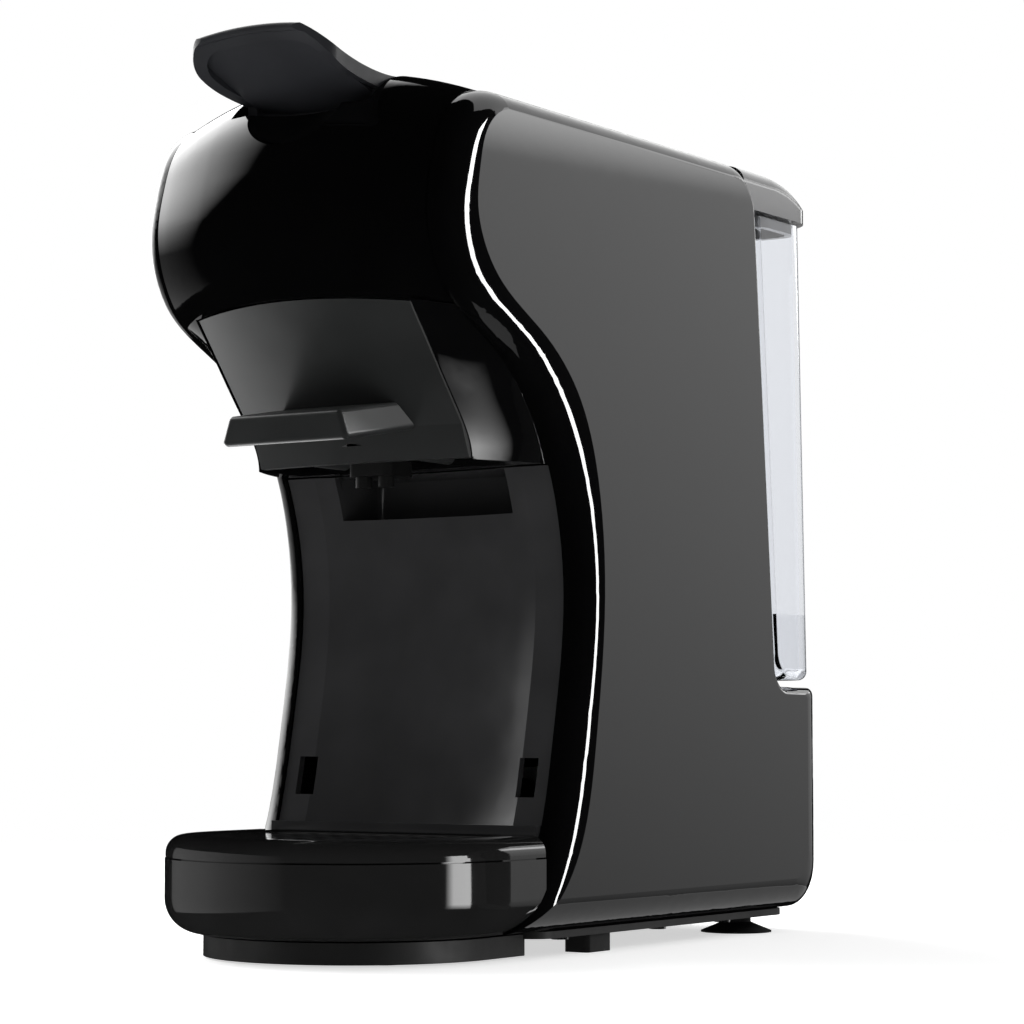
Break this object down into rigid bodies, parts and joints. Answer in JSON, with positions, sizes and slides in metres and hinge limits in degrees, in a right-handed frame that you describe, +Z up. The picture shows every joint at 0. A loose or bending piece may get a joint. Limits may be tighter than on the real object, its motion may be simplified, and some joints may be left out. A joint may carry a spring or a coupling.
{
  "type": "capsule coffee machine",
  "caption": "Narrow countertop capsule coffee machine with lever-closed brew head, pull-out capsule holder, lift-off water tank and drip tray.",
  "frame": {"origin": "centre of the footprint of the bounding box, on the table", "axes": "+Z up, -Y is the front with the cup bay and lever, +X is the right of the picture"},
  "size_m": [0.12, 0.249, 0.2764],
  "materials": {
    "gloss_black": "gloss",
    "panel_grey": "gloss",
    "satin_black": "satin",
    "satin_grey": "satin",
    "lid_grey": "gloss",
    "matte_black": "matte",
    "rubber_black": "matte",
    "rubber_clear": "satin",
    "clear_tank": "gloss",
    "white_plastic": "matte",
    "grey_plastic": "matte",
    "button_black": "gloss",
    "steel": "satin",
    "aluminium": "satin",
    "board_green": "matte"
  },
  "bodies": {
    "machine": {"right_side_shell": "gloss_black", "left_side_shell": "gloss_black", "front_head_shell": "gloss_black", "top_deck": "gloss_black", "nose_frame": "gloss_black", "cup_bay_panel": "panel_grey", "rear_cover": "matte_black", "base_plate": "matte_black", "front_foot_pads": "rubber_black", "mid_feet": "matte_black", "rear_suction_cups": "rubber_black", "lever_pin": "steel", "brew_frame": "grey_plastic", "tank_socket": "matte_black", "socket_seal": "rubber_black", "button_small_spring": "steel", "button_power_spring": "steel", "button_large_spring": "steel", "button_board": "board_green", "button_guide": "grey_plastic", "chassis": "grey_plastic", "boiler_block": "aluminium", "thermostat": "steel", "pump": "white_plastic", "pump_mounts": "rubber_black", "pump_cradle": "grey_plastic", "flow_meter": "white_plastic", "inlet_hose": "rubber_clear", "suction_hose": "rubber_clear", "pressure_hose": "rubber_clear", "delivery_hose": "rubber_clear", "control_board": "board_green", "board_standoffs": "white_plastic", "cord_gland": "rubber_black", "base_screws": "steel", "rear_screws": "steel"},
    "lever_body": {"lever": "satin_black", "crank_pin": "steel"},
    "piston_body": {"piston": "grey_plastic", "piston_seal": "rubber_black", "piercing_plate": "steel"},
    "holder_body": {"capsule_holder": "satin_grey", "capsule_basket": "matte_black", "spout": "matte_black"},
    "tray_body": {"drip_tray": "gloss_black", "tray_cover": "gloss_black"},
    "grate_body": {"drip_grate": "gloss_black"},
    "tank_body": {"water_tank": "clear_tank", "tank_outlet": "grey_plastic", "valve_spring": "steel"},
    "lid_body": {"tank_lid": "lid_grey"},
    "valve_body": {"tank_valve": "white_plastic"},
    "small_button_body": {"button_small": "button_black"},
    "power_button_body": {"button_power": "button_black"},
    "large_button_body": {"button_large": "button_black"}
  },
  "joints": [
    {"name": "lever_hinge", "type": "hinge", "parent": "machine", "child": "lever_body", "pos_m": [0, -0.014, 0.248], "axis": [-1, 0, 0], "range_deg": [0, 80]},
    {"name": "piston_slide", "type": "slide", "parent": "machine", "child": "piston_body", "axis": [0, 0, 1], "range_m": [0, 0.014]},
    {"name": "holder_slide", "type": "slide", "parent": "machine", "child": "holder_body", "axis": [0, -1, 0], "range_m": [0, 0.085]},
    {"name": "tray_slide", "type": "slide", "parent": "machine", "child": "tray_body", "axis": [0, -1, 0], "range_m": [0, 0.09]},
    {"name": "grate_lift", "type": "slide", "parent": "tray_body", "child": "grate_body", "axis": [0, 0, 1], "range_m": [0, 0.06]},
    {"name": "tank_lift", "type": "slide", "parent": "machine", "child": "tank_body", "axis": [0, 0, 1], "range_m": [0, 0.15]},
    {"name": "lid_lift", "type": "slide", "parent": "tank_body", "child": "lid_body", "axis": [0, 0, 1], "range_m": [0, 0.06]},
    {"name": "valve_slide", "type": "slide", "parent": "tank_body", "child": "valve_body", "axis": [0, 0, 1], "range_m": [0, 0.0025], "stiffness_N_per_m": 150, "springref_m": -0.002, "deforming": ["valve_spring"]},
    {"name": "small_button_press", "type": "slide", "parent": "machine", "child": "small_button_body", "axis": [0, 0, -1], "range_m": [0, 0.0014], "stiffness_N_per_m": 400, "springref_m": -0.001, "deforming": ["button_small_spring"]},
    {"name": "power_button_press", "type": "slide", "parent": "machine", "child": "power_button_body", "axis": [0, 0, -1], "range_m": [0, 0.0014], "stiffness_N_per_m": 400, "springref_m": -0.001, "deforming": ["button_power_spring"]},
    {"name": "large_button_press", "type": "slide", "parent": "machine", "child": "large_button_body", "axis": [0, 0, -1], "range_m": [0, 0.0014], "stiffness_N_per_m": 400, "springref_m": -0.001, "deforming": ["button_large_spring"]}
  ],
  "couplings": [
    {"joint": "piston_slide", "follows": "lever_hinge", "m_per_rad": 0.01}
  ]
}
